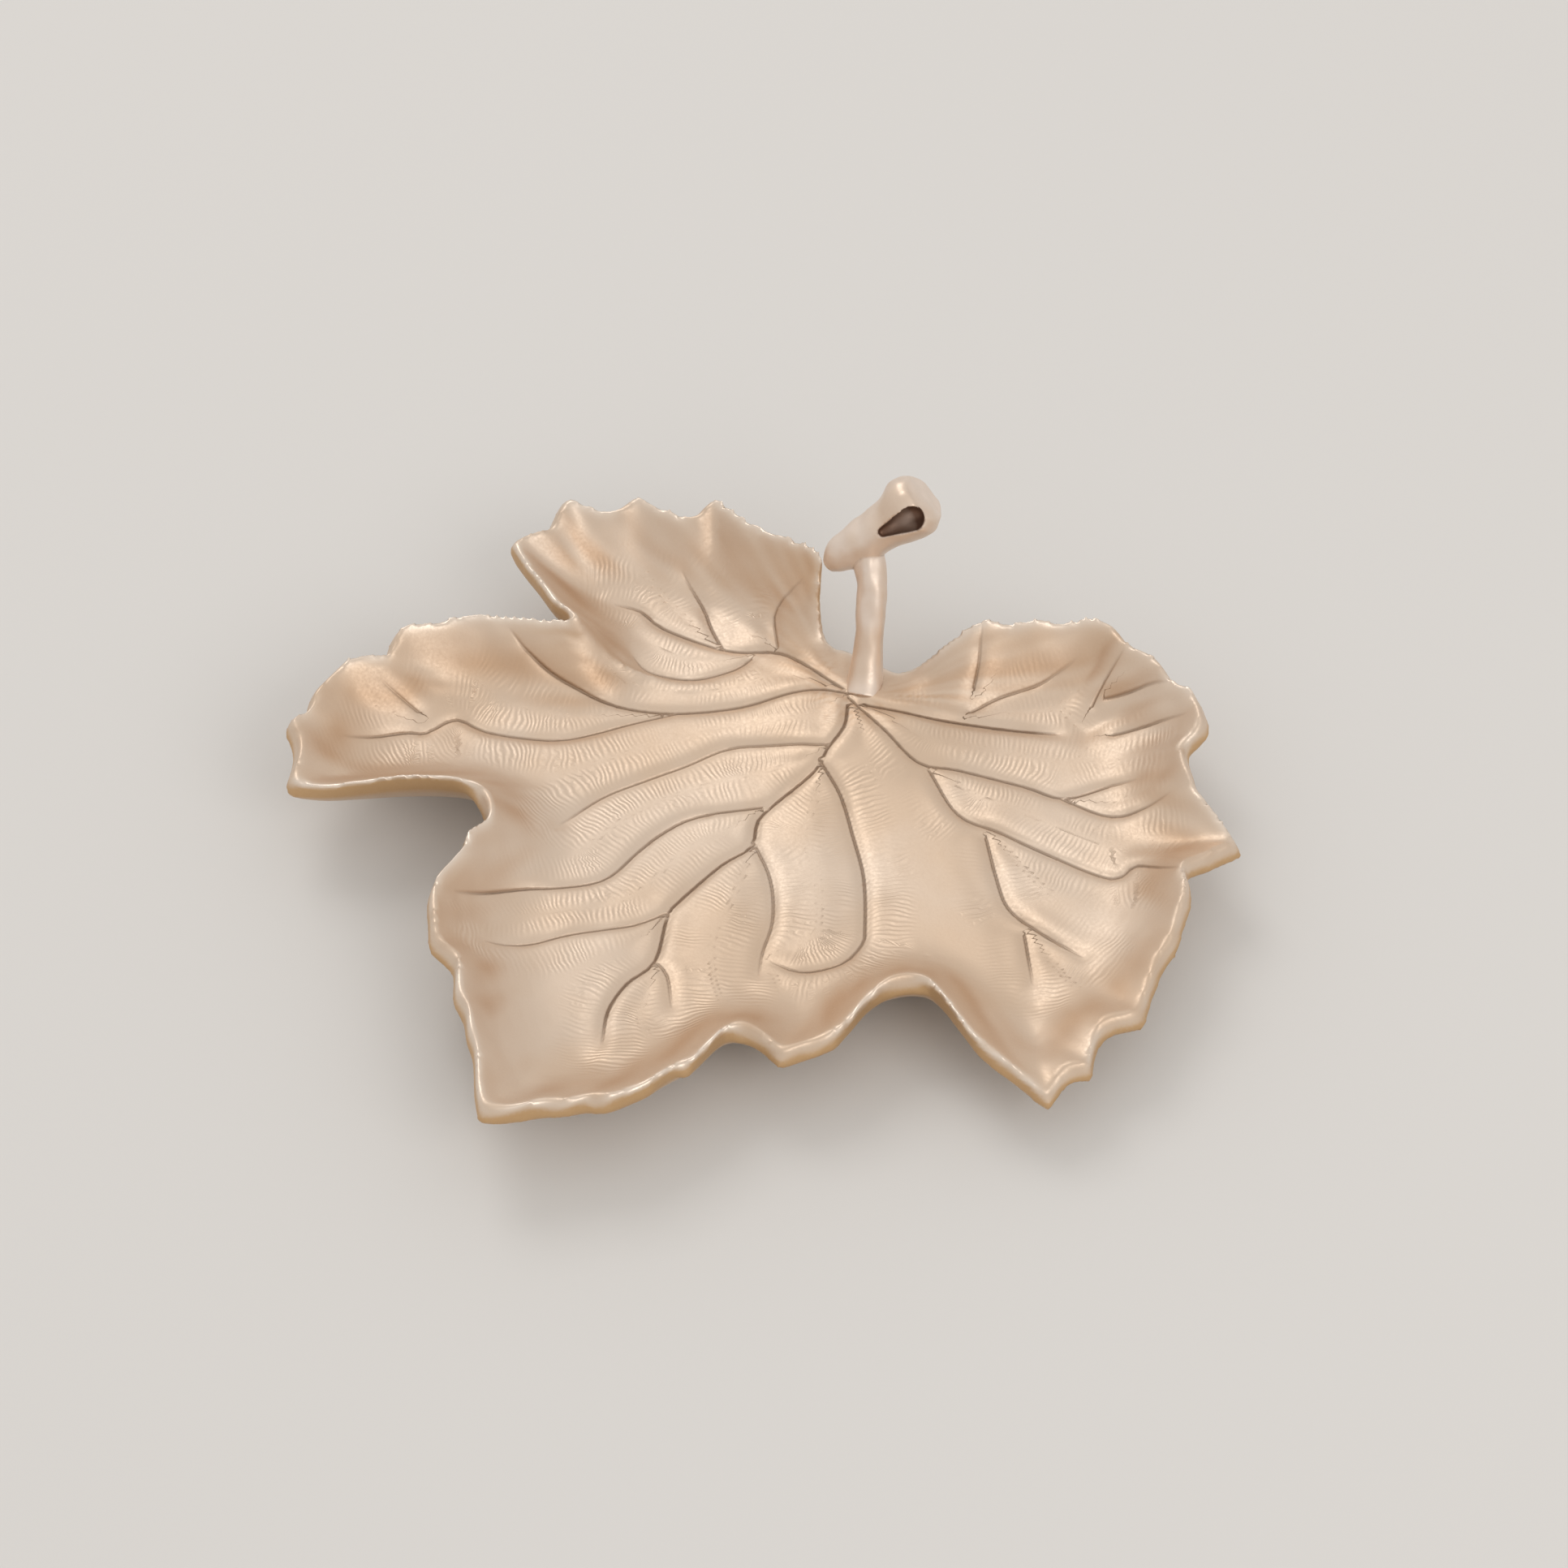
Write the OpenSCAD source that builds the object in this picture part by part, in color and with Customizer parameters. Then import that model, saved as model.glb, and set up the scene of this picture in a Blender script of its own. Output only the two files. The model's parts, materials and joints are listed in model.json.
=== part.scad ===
// Ring dish in the form of a vine leaf: a cast metal leaf with its rim turned up,
// a twig handle brazed to it, and three feet with felt pads under it.
// Millimetres, +Z up. The origin is on the table, under the middle of the leaf.
// The end lobe points to -Y and the handle stands at the back.

/* [Leaf outline] */
// Length of the end lobe, from the junction of the veins to its tip
end_lobe = 82; // [74:1:90]
// Length of the left side lobe
left_lobe = 72; // [65:1:80]
// Length of the right side lobe
right_lobe = 68; // [62:1:76]
// Length of the left back lobe, the one that meets the handle
left_back_lobe = 48; // [45:1:52]
// Length of the right back lobe
right_back_lobe = 54; // [48:1:60]

/* [Leaf section] */
// Thickness of the casting
leaf_t = 3; // [2.6:0.1:3.4]
// Height of the turned-up rim over the floor of the dish
rim_h = 9.2; // [7:0.1:11]
// Width of the border that curls up along the rim
border_w = 9; // [6:0.5:12]
// Height of the junction of the veins over the floor of the dish
hub_h = 2.2; // [1.6:0.1:3]
// Depth of the valleys along the veins
vein_depth = 0.8; // [0.4:0.1:1]
// Width of the valleys along the veins
vein_w = 4.4; // [3.5:0.1:6]

/* [Handle] */
// Thickness of the leaf's stalk, the upright bar of the handle
stalk_d = 3.9; // [3.4:0.1:4.6]
// Thickness of the short piece of vine cane that the stalk carries
cane_d = 5; // [4.2:0.1:5.6]
// Width of the cane's flared cut end
flare_d = 8.6; // [7:0.1:9.6]

/* [Feet] */
// Height of each cast foot
foot_h = 1.6; // [1.2:0.1:3]
// Diameter of each cast foot
foot_d = 8; // [6:0.5:9]
// Thickness of each felt pad
pad_t = 1; // [0.6:0.1:2]
// Diameter of each felt pad
pad_d = 7; // [5:0.5:8]
// Distance of the front foot from the junction of the veins
front_foot_r = 37; // [34:0.5:38]
// Distance of each back foot from the junction of the veins
back_foot_r = 25; // [23:0.5:26]

/* [Brazed joints] */
// Diameter of the pegs that locate the handle and the feet
peg_d = 2.4; // [2:0.1:2.8]
// Length of each foot's peg
foot_peg_h = 0.9; // [0.6:0.1:1]
// Length of the handle's peg
stem_peg_h = 1.8; // [1.2:0.1:1.9]
// Clearance round a peg and at its tip, which the braze fills
peg_gap = 0.06; // [0.04:0.01:0.1]

/* [Hidden] */
$fn = 48;

gold = "#d9bd9c";
felt = "#3a3632";

// How much is ground off the underside to give the feet a flat seat
ground = 0.7;
belly_z = pad_t + foot_h;
floor_z = belly_z - ground + leaf_t;
hub_z = floor_z + hub_h;

// The edge of the leaf, one list for each lobe and counted anticlockwise. Each point
// gives its direction from the junction in degrees, its distance in hundredths of the
// lobe's length, its height in hundredths of rim_h, and, beside the handle, how far
// its rib leans away from that direction at the junction.
LEFT_BACK = [
    [134, 32, 145, 22], [138, 38, 136, 21], [143, 45, 125, 18], [149, 54, 116, 15],
    [152.5, 68, 112, 13], [158, 67, 98, 10], [162.5, 74, 103, 8], [164.5, 82, 112, 7],
    [168.5, 83, 98, 5], [171.5, 89, 103, 4], [173, 96, 112, 4], [178.5, 94, 94, 3],
    [182, 98, 102, 2], [185, 100, 100, 1], [188, 94, 98, 1], [191, 88, 104, 0],
    [195, 82, 108, 0], [197.5, 77, 111, 0], [199.4, 75, 112, 0]
];
LEFT = [
    [200.2, 60, 112], [200.8, 66, 112], [202, 71, 110], [203.4, 74.5, 106], [205, 79.5, 116],
    [207, 80.5, 108], [208.8, 82, 103], [210, 88, 114], [211.4, 90, 108], [213, 92, 105],
    [214.8, 94, 111], [216.6, 95, 103], [218.2, 98.5, 109], [220.2, 97.5, 98],
    [222.4, 98, 98], [224.2, 99.5, 96], [225.6, 100, 91], [226.8, 96, 92], [227.6, 91, 98],
    [228.4, 85, 103], [229.4, 79, 103], [231, 73, 99], [233, 70, 93], [235.5, 69.5, 89]
];
END = [
    [238, 62, 89], [239.6, 65, 98], [240.8, 67.5, 109], [242.3, 69.5, 102],
    [243.8, 74, 110], [246, 77.5, 108], [249, 80, 111], [251, 82, 102], [253.6, 81.5, 96],
    [255, 82.5, 97], [257.4, 86, 102], [259.4, 87, 96], [261.4, 90, 101], [263, 91.5, 97],
    [265.2, 96, 100], [267.6, 100, 100], [270, 97.5, 98], [272, 94, 94], [273.6, 93, 98],
    [275, 90.5, 93], [276.8, 90, 99], [278.8, 86, 94], [280, 84, 97], [281.4, 80, 90],
    [282.8, 79, 93], [284.2, 73, 88], [286, 70.5, 85], [288.6, 71, 82], [291.4, 73.5, 78],
    [294, 71.5, 76], [296, 70.5, 80], [298.6, 68.5, 81], [301, 64.5, 85], [303.4, 61.5, 88],
    [306, 60.3, 88]
];
RIGHT = [
    [308.6, 73, 88], [310.6, 76, 88], [312, 82, 88], [313.2, 87, 83], [315, 91, 74],
    [317, 94.5, 62], [319.2, 100, 46], [321.2, 97.5, 54], [322.8, 96.5, 61], [324.6, 97.5, 56],
    [326.6, 93, 59], [328.6, 91, 66], [331, 92, 66], [333, 92, 61], [335, 89.5, 65],
    [337.4, 87, 71], [339.6, 85, 74], [342.4, 84, 82], [345, 81.5, 84], [347.6, 80, 91],
    [350, 77.5, 93], [351.6, 75, 89]
];
RIGHT_BACK = [
    [354, 96, 80], [357.4, 98, 73], [360.4, 100, 67], [362.8, 93, 77], [365.4, 86, 87],
    [369, 82, 89], [373, 79, 84], [375.4, 81.5, 90], [378, 82.5, 99], [381, 81, 96],
    [384, 79, 104], [386, 75, 97], [388.4, 72.5, 95], [392, 70, 104], [394.4, 66, 98],
    [397, 63.5, 94], [400.6, 62.5, 97], [403, 60, 105], [404.4, 55, 99], [405.2, 50, 94],
    [406.8, 47, 103], [408, 42, 99], [409.4, 38, 94], [412.4, 35, 105], [413.4, 30, 95],
    [414.2, 25, 80], [416.4, 20, 64]
];
// The edge of the web that joins the two back lobes, in real distances from the junction
WEB = [
    [421, 8.4, 48, 0], [430, 6.8, 40, 0], [444, 6.6, 32, 0], [458, 6.8, 30, 0],
    [471, 7.2, 32, 0], [483, 7.8, 34, 0], [491, 8.3, 40, -2], [499, 9.2, 52, -1],
    [500.6, 11, 76, 5], [498, 13.2, 116, 14]
];

// The veins, as places on the leaf about the junction
VEINS = [
    [[0, -6], [1.6, -9], [1.4, -13], [-1, -21], [0, -26], [-2.4, -33], [-3, -40], [-1, -48], [0, -66]],
    [[-1, -20], [-8, -25.5], [-11, -33], [-13, -40.5], [-19.5, -47], [-25, -57]],
    [[0, -26], [5, -29.5], [9, -37], [11.5, -44]],
    [[-3, -40], [-9, -47], [-15, -54], [-19.5, -59]],
    [[1.5, -11], [8, -16], [15, -23.5], [20, -33], [17.5, -39], [11.5, -41]],
    [[-1, -48], [4, -51.5], [6, -55]],
    [[-5, -2.5], [-11.5, -7], [-19.5, -12.5], [-26, -15], [-33, -17], [-41, -16.5]],
    [[-19.5, -12.5], [-25.5, -19.5], [-32.5, -25.5], [-41, -28], [-46, -34], [-51, -40.5]],
    [[1, -9], [-10, -14.5], [-14.5, -21.5], [-20, -29], [-22, -36]],
    [[-5, 2.5], [-14.5, 1], [-22, 0], [-29, -0.5], [-36, -1]],
    [[-19, 0], [-25, 4.5], [-30, 7.5]],
    [[-14, 1], [-18, -4.5], [-25.5, -8], [-29.5, -7]],
    [[4, -2], [12, -4.5], [16, -6], [25.5, -10.5], [31, -18], [37, -22.5], [41.5, -29], [47, -38]],
    [[25.5, -10], [33, -9.5], [42, -9.5], [50, -8]],
    [[37, -22.5], [45, -22.5]],
    [[12, -4.5], [22, -1.5], [30.5, -0.5], [38, 5]],
    [[30.5, -0.5], [37.5, -0.5], [43.5, 3.5]],
    [[4, 0.5], [12, 2.5], [20, 6.5], [26, 9], [31, 14]],
    [[14, 6.5], [18, 11.5], [23, 18]]
];

function lobe(points, reach) = [
    for (p = points) [p[0], p[1] / 100 * reach, p[2] / 100 * rim_h, len(p) > 3 ? p[3] : 0]
];
function web(points) = [for (p = points) [p[0], p[1], p[2] / 100 * rim_h, p[3]]];
function cornered(p) = [p[1] * cos(p[0]), p[1] * sin(p[0]), p[2], p[3]];
KEYS = [
    for (p = concat(
        lobe(LEFT_BACK, left_back_lobe), lobe(LEFT, left_lobe), lobe(END, end_lobe),
        lobe(RIGHT, right_lobe), lobe(RIGHT_BACK, right_back_lobe), web(WEB)
    )) cornered(p)
];
function at(list, i) = list[(i + len(list)) % len(list)];

// A point halfway between two key points, on the smooth curve through their neighbours
function between(i) = (9 * (at(KEYS, i) + at(KEYS, i + 1)) - at(KEYS, i - 1) - at(KEYS, i + 2)) / 16;
RIM = [for (i = [0 : len(KEYS) - 1]) each [KEYS[i], between(i)]];
RAYS = len(RIM);

// The skins are meshed on ribs that run out from the junction: one for each key point,
// and near the rim one more between each two
half = len(KEYS);
inner_share = 0.76;
top_inner = 18;
top_outer = 4;
under_inner = 8;
under_outer = 4;
hub_flat = 6.2;
hub_fade = 8;
lean_power = 4;

function smooth(v) = let (c = min(max(v, 0), 1)) c * c * (3 - 2 * c);
function flat_of(p) = [p[0], p[1]];
function segment_gap(p, a, b) =
    let (ab = b - a, s = min(max((p - a) * ab / (ab * ab), 0), 1)) norm(p - a - s * ab);

// A point of the leaf's plan: rib i, at share t of the way to the rim
function plan(i, t) =
    let (q = RIM[i], r = norm(flat_of(q)), a = atan2(q[1], q[0]) + q[3] * (1 - pow(t, lean_power)))
    [r * t * cos(a), r * t * sin(a)];

// The nearest stretch of the edge to a point of rib i: its distance and its height
function nearest(p, i, reach) =
    let (
        gaps = [
            for (k = [-reach : reach - 1])
                segment_gap(p, flat_of(at(RIM, i + k)), flat_of(at(RIM, i + k + 1)))
        ],
        gap = min(gaps), k = i - reach + search(gap, gaps)[0],
        a = flat_of(at(RIM, k)), ab = flat_of(at(RIM, k + 1)) - a,
        s = min(max((p - a) * ab / (ab * ab), 0), 1)
    )
    [gap, at(RIM, k)[2] * (1 - s) + at(RIM, k + 1)[2] * s];

// The dish deepens towards this point, and its border curls up on top of that
deepest = [0, -18];
bowl_r = 62;
bowl_h = 4;
hub_r = 16;
function dish(p) =
    floor_z + hub_h * exp(-pow(norm(p) / hub_r, 2)) + bowl_h * pow(norm(p - deepest) / bowl_r, 2.2);
curl_above = 1.8;
curl_below = 2.8;
function curled(p, near, power) =
    dish(p) + (floor_z + near[1] - dish(p)) * pow(max(0, 1 - near[0] / border_w), power);
function valley(p) =
    let (gap = min([for (v = VEINS) for (j = [1 : len(v) - 1]) segment_gap(p, v[j - 1], v[j])]))
    vein_depth * exp(-pow(2 * gap / vein_w, 2));
function top_z(i, t, veined) =
    let (
        p = plan(i, t), r = norm(p), s = smooth((r - hub_flat) / hub_fade),
        near = t >= 1 ? [0, RIM[i][2]] : nearest(p, i, t > 0.85 ? 8 : 26)
    )
    r <= hub_flat ? hub_z
        : hub_z * (1 - s)
            + (curled(p, near, veined ? curl_above : curl_below) - (veined ? valley(p) : 0)) * s;
function top_point(i, t) = let (p = plan(i, t)) [p[0], p[1], top_z(i, t, true)];

// The way out from the leaf across its edge, in plan
function outward(i) =
    let (d = flat_of(at(RIM, i + 1)) - flat_of(at(RIM, i - 1))) [d[1], -d[0]] / norm(d);

// The edge face leans out at its foot, square to the curled border, where the rim faces
// away from the junction
undercut = 30;
function under_point(i, t) =
    let (
        p = plan(i, t), z = top_z(i, t, false), away = p / norm(p),
        slope = undercut * smooth((t - 0.7) / 0.3) * max(0, outward(i) * away),
        q = p + away * leaf_t * sin(slope) * smooth((norm(flat_of(RIM[i])) - 10) / 20)
    )
    [q[0], q[1], max(belly_z, z - leaf_t * cos(slope))];

// The middle of the leaf's box, which stands over the origin
EDGE = [for (i = [0 : RAYS - 1]) under_point(i, 1)];
function mid_of(list) = (min(list) + max(list)) / 2;
middle = [mid_of([for (p = EDGE) p[0]]), mid_of([for (p = EDGE) p[1]])];

// The points of one skin: the inner rings on every second rib, then the outer rings
function skin(point, hub, n_in, n_out) = concat(
    [hub],
    [for (j = [0 : half - 1]) for (k = [1 : n_in]) point(2 * j, inner_share * k / n_in)],
    [
        for (i = [0 : RAYS - 1]) for (k = [1 : n_out])
            point(i, inner_share + (1 - inner_share) * k / n_out)
    ]
);
function skin_size(n_in, n_out) = 1 + half * n_in + RAYS * n_out;
function rim_id(i, n_in, n_out) = 1 + half * n_in + (i % RAYS) * n_out + n_out - 1;
function skin_faces(n_in, n_out) =
    let (
        in = function(j, k) 1 + (j % half) * n_in + k,
        out = function(i, k) 1 + half * n_in + (i % RAYS) * n_out + k
    )
    [
        for (j = [0 : half - 1]) each concat(
            [[0, in(j + 1, 0), in(j, 0)]],
            [
                for (k = [0 : n_in - 2])
                    each quad(in(j, k), in(j + 1, k), in(j + 1, k + 1), in(j, k + 1))
            ],
            [
                [in(j, n_in - 1), in(j + 1, n_in - 1), out(2 * j + 1, 0)],
                [in(j, n_in - 1), out(2 * j + 1, 0), out(2 * j, 0)],
                [in(j + 1, n_in - 1), out(2 * j + 2, 0), out(2 * j + 1, 0)]
            ]
        ),
        if (n_out > 1) for (i = [0 : RAYS - 1]) for (k = [0 : n_out - 2])
            each quad(out(i, k), out(i + 1, k), out(i + 1, k + 1), out(i, k + 1))
    ];
function quad(a, b, c, d) = [[a, b, c], [a, c, d]];

module leaf_solid() {
    first_under = skin_size(top_inner, top_outer);
    points = concat(
        skin(function(i, t) top_point(i, t), [0, 0, hub_z], top_inner, top_outer),
        skin(function(i, t) under_point(i, t), [0, 0, hub_z - leaf_t], under_inner, under_outer)
    );
    function above(i) = rim_id(i, top_inner, top_outer);
    function below(i) = first_under + rim_id(i, under_inner, under_outer);
    polyhedron(points, concat(
        skin_faces(top_inner, top_outer),
        [for (f = skin_faces(under_inner, under_outer)) [f[2], f[1], f[0]] + first_under * [1, 1, 1]],
        [for (i = [0 : RAYS - 1]) each quad(above(i), above(i + 1), below(i + 1), below(i))]
    ));
}

// Places that the pieces share, about the junction of the veins
function foot_at(r, a) = [r * cos(a), r * sin(a), 0];
front_foot = foot_at(front_foot_r, 270);
left_foot = foot_at(back_foot_r, 210);
right_foot = foot_at(back_foot_r, 330);
seat = [0, 3.5, hub_z];
module placed() {
    translate([-middle[0], -middle[1], 0]) children();
}

module leaf() {
    color(gold) placed() difference() {
        leaf_solid();
        for (p = [front_foot, left_foot, right_foot])
            translate(p + [0, 0, belly_z - 1])
                cylinder(d = peg_d + 2 * peg_gap, h = foot_peg_h + peg_gap + 1);
        translate(seat - [0, 0, stem_peg_h + peg_gap])
            cylinder(d = peg_d + 2 * peg_gap, h = stem_peg_h + peg_gap + 1);
    }
}

// A rod of changing thickness along a curve: each stop is [x, y, z, diameter]
rod_sides = 20;
rod_steps = 4;
function stop(list, i) = list[min(max(i, 0), len(list) - 1)];
function curve(list, i, u) =
    let (a = stop(list, i - 1), b = stop(list, i), c = stop(list, i + 1), d = stop(list, i + 2))
    b + 0.5 * u * (c - a + u * (2 * a - 5 * b + 4 * c - d + u * (3 * b - a - 3 * c + d)));
function run(list) = [
    for (i = [0 : len(list) - 2]) for (k = [0 : rod_steps - 1]) curve(list, i, k / rod_steps),
    list[len(list) - 1]
];
module rod(stops) {
    route = run(stops);
    last = len(route) - 1;
    function spot(i) = [route[i][0], route[i][1], route[i][2]];
    function along(i) =
        let (v = spot(min(i + 1, last)) - spot(max(i - 1, 0))) v / norm(v);
    function ring(i) =
        let (
            w = along(i), side = cross([0.3, 1, 0], w), u = side / norm(side), v = cross(w, u),
            r = route[i][3] / 2
        )
        [
            for (k = [0 : rod_sides - 1])
                let (a = 360 * k / rod_sides) spot(i) + r * (u * cos(a) + v * sin(a))
        ];
    points = [for (i = [0 : last]) each ring(i)];
    function id(i, k) = i * rod_sides + k % rod_sides;
    polyhedron(points, concat(
        [[for (k = [0 : rod_sides - 1]) id(0, k)]],
        [[for (k = [rod_sides - 1 : -1 : 0]) id(last, k)]],
        [for (i = [0 : last - 1]) for (k = [0 : rod_sides - 1]) each [
            [id(i, k), id(i + 1, k), id(i + 1, k + 1)], [id(i, k), id(i + 1, k + 1), id(i, k + 1)]
        ]]
    ));
}

STALK = [
    [0.6, 1.6, hub_z - 1.5, stalk_d * 1.35], [0, 3.5, hub_z, stalk_d * 1.2],
    [-0.9, 5.6, hub_z + 3, stalk_d], [-1.8, 7.8, hub_z + 6.5, stalk_d],
    [-3, 10.2, hub_z + 10.2, stalk_d * 1.03], [-4.6, 11.8, hub_z + 13, stalk_d * 1.1]
];
CANE = [
    [-9.2, 10.4, hub_z + 10, cane_d * 0.46], [-8, 11, hub_z + 12, cane_d * 0.9],
    [-6, 12.4, hub_z + 14, cane_d * 1.16], [-3.9, 14, hub_z + 16.2, cane_d * 1.2],
    [-2, 15.6, hub_z + 18, flare_d * 0.86], [-0.8, 16.8, hub_z + 19.6, flare_d],
    [0.2, 17.6, hub_z + 20.8, flare_d * 0.8]
];
// The hollow in the cane's flared end: it opens forward, and widens away from the neck
hollow_from = [-2.6, 12, hub_z + 18.1];
hollow_to = [0.4, 13.8, hub_z + 20.6];
hollow_d = 3.4;
module stem() {
    color(gold) placed() {
        difference() {
            union() {
                rod(STALK);
                rod(CANE);
            }
            translate([-10, -10, hub_z - 10]) cube([20, 20, 10]);
            hull() {
                translate(hollow_from) sphere(d = hollow_d / 3);
                translate(hollow_to) sphere(d = hollow_d);
            }
        }
        translate(seat - [0, 0, stem_peg_h]) cylinder(d = peg_d, h = stem_peg_h);
    }
}

module foot(p) {
    color(gold) placed() translate(p) {
        translate([0, 0, pad_t]) cylinder(d = foot_d, h = foot_h);
        translate([0, 0, belly_z]) cylinder(d = peg_d, h = foot_peg_h);
    }
}

module pad(p) {
    color(felt) placed() translate(p) cylinder(d = pad_d, h = pad_t);
}

leaf();
stem();
foot(front_foot);  // foot_front
foot(left_foot);  // foot_left
foot(right_foot);  // foot_right
pad(front_foot);  // pad_front
pad(left_foot);  // pad_left
pad(right_foot);  // pad_right
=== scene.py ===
"""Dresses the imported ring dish: a cast vine leaf, its twig handle, three feet and their felt pads.

Blender's unit is the metre, as in the frame. Lengths in the classes below are millimetres, +Z up.
"""
import json
import logging
import math
from dataclasses import dataclass, field
from enum import Enum

import bmesh
import bpy
import numpy as np
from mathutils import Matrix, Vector, kdtree, noise

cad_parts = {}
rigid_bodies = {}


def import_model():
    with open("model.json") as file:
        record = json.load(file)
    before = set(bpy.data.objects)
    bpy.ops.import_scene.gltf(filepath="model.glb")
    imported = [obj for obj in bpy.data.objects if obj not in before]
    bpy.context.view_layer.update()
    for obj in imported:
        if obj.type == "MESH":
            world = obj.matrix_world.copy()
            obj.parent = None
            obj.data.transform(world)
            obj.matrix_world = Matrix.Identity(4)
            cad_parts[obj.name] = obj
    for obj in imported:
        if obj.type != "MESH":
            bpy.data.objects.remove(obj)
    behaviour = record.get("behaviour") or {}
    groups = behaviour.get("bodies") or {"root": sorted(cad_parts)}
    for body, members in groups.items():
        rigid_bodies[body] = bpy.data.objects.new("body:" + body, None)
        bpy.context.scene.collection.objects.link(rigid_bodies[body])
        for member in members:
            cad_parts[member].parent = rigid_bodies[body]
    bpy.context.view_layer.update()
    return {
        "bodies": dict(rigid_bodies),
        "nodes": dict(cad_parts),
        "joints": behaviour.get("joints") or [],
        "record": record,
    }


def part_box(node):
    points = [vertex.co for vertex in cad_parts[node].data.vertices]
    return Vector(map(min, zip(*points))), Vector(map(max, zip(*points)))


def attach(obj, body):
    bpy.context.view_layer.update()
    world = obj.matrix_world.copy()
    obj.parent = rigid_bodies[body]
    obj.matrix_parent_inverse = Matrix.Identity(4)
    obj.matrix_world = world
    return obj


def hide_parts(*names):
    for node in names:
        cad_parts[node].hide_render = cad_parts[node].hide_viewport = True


MM = 0.001
BODY = "root"
METAL_SLOT = "plated_metal"
FELT_SLOT = "felt"

# Where the veins meet, in the frame, in millimetres
JUNCTION = (-0.08, 30.24)

# Stands for a distance where a point has none of its own, in millimetres
FAR = 99.0

# How cast_skin joins triangles to quads, and which edges it keeps fairly sharp, in degrees
FLAT_ENOUGH, SQUARE_ENOUGH, SHARP = 40, 60, 45
SHARP_CREASE = 0.75

log = logging.getLogger("ring_dish")

Colour = tuple[float, float, float, float]


def linear(hex_colour: str) -> Colour:
    """Turns an sRGB hex colour to linear light.

    Args:
        hex_colour: six hex digits after a hash sign.

    Returns:
        Red, green, blue and alpha for a shader socket.
    """
    parts = [int(hex_colour[i:i + 2], 16) / 255 for i in (1, 3, 5)]
    light = [c / 12.92 if c <= 0.04045 else ((c + 0.055) / 1.055) ** 2.4 for c in parts]
    return (light[0], light[1], light[2], 1.0)


def add_node(tree: bpy.types.NodeTree, kind: str, settings: dict,
             links: dict) -> bpy.types.Node:
    """Adds one node with its settings and the links into it.

    Args:
        tree: the node tree of a material or of the world.
        kind: the node's type name.
        settings: values by attribute name, or by input name or number.
        links: output sockets by input name or number.

    Returns:
        The new node.
    """
    node = tree.nodes.new(kind)
    for key, value in settings.items():
        if isinstance(key, str) and hasattr(node, key):
            setattr(node, key, value)
        else:
            node.inputs[key].default_value = value
    for key, output in links.items():
        tree.links.new(output, node.inputs[key])
    return node


def maths(tree: bpy.types.NodeTree, operation: str,
          *operands: bpy.types.NodeSocket | float) -> bpy.types.NodeSocket:
    """Adds one step of arithmetic to a node tree.

    Args:
        tree: the node tree.
        operation: the step's type name.
        operands: numbers and output sockets, in the node's order.

    Returns:
        The result's socket.
    """
    settings, links = {"operation": operation}, {}
    for place, operand in enumerate(operands):
        (links if isinstance(operand, bpy.types.NodeSocket) else settings)[place] = operand
    return add_node(tree, "ShaderNodeMath", settings, links).outputs[0]


def ranged(tree: bpy.types.NodeTree, value: bpy.types.NodeSocket, source: tuple[float, float],
           target: tuple[float, float] = (0.0, 1.0)) -> bpy.types.NodeSocket:
    """Maps a value from one range to another, and stops it at the ends.

    Args:
        tree: the node tree.
        value: the value's socket.
        source: the range that the value comes from.
        target: the range that it goes to.

    Returns:
        The mapped value's socket.
    """
    settings = {1: source[0], 2: source[1], 3: target[0], 4: target[1]}
    return add_node(tree, "ShaderNodeMapRange", settings, {0: value}).outputs[0]


def soft_noise(tree: bpy.types.NodeTree, place: bpy.types.NodeSocket, size: float,
               detail: float) -> bpy.types.NodeSocket:
    """Adds noise to a node tree.

    Args:
        tree: the node tree.
        place: the coordinates.
        size: the size of its largest features, in millimetres.
        detail: how many finer layers it has.

    Returns:
        The noise's socket.
    """
    settings = {"Scale": 1 / (size * MM), "Detail": detail}
    return add_node(tree, "ShaderNodeTexNoise", settings, {"Vector": place}).outputs["Fac"]


class Attribute(Enum):
    """The values that the leaf and the twig carry at each point for their material."""

    RIM = "rim"
    SIDE = "side"
    CUT = "cut"
    ALONG = "along"
    PANEL = "panel"
    BORDER = "border"
    WALL = "wall"
    HOLLOW = "hollow"


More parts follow.
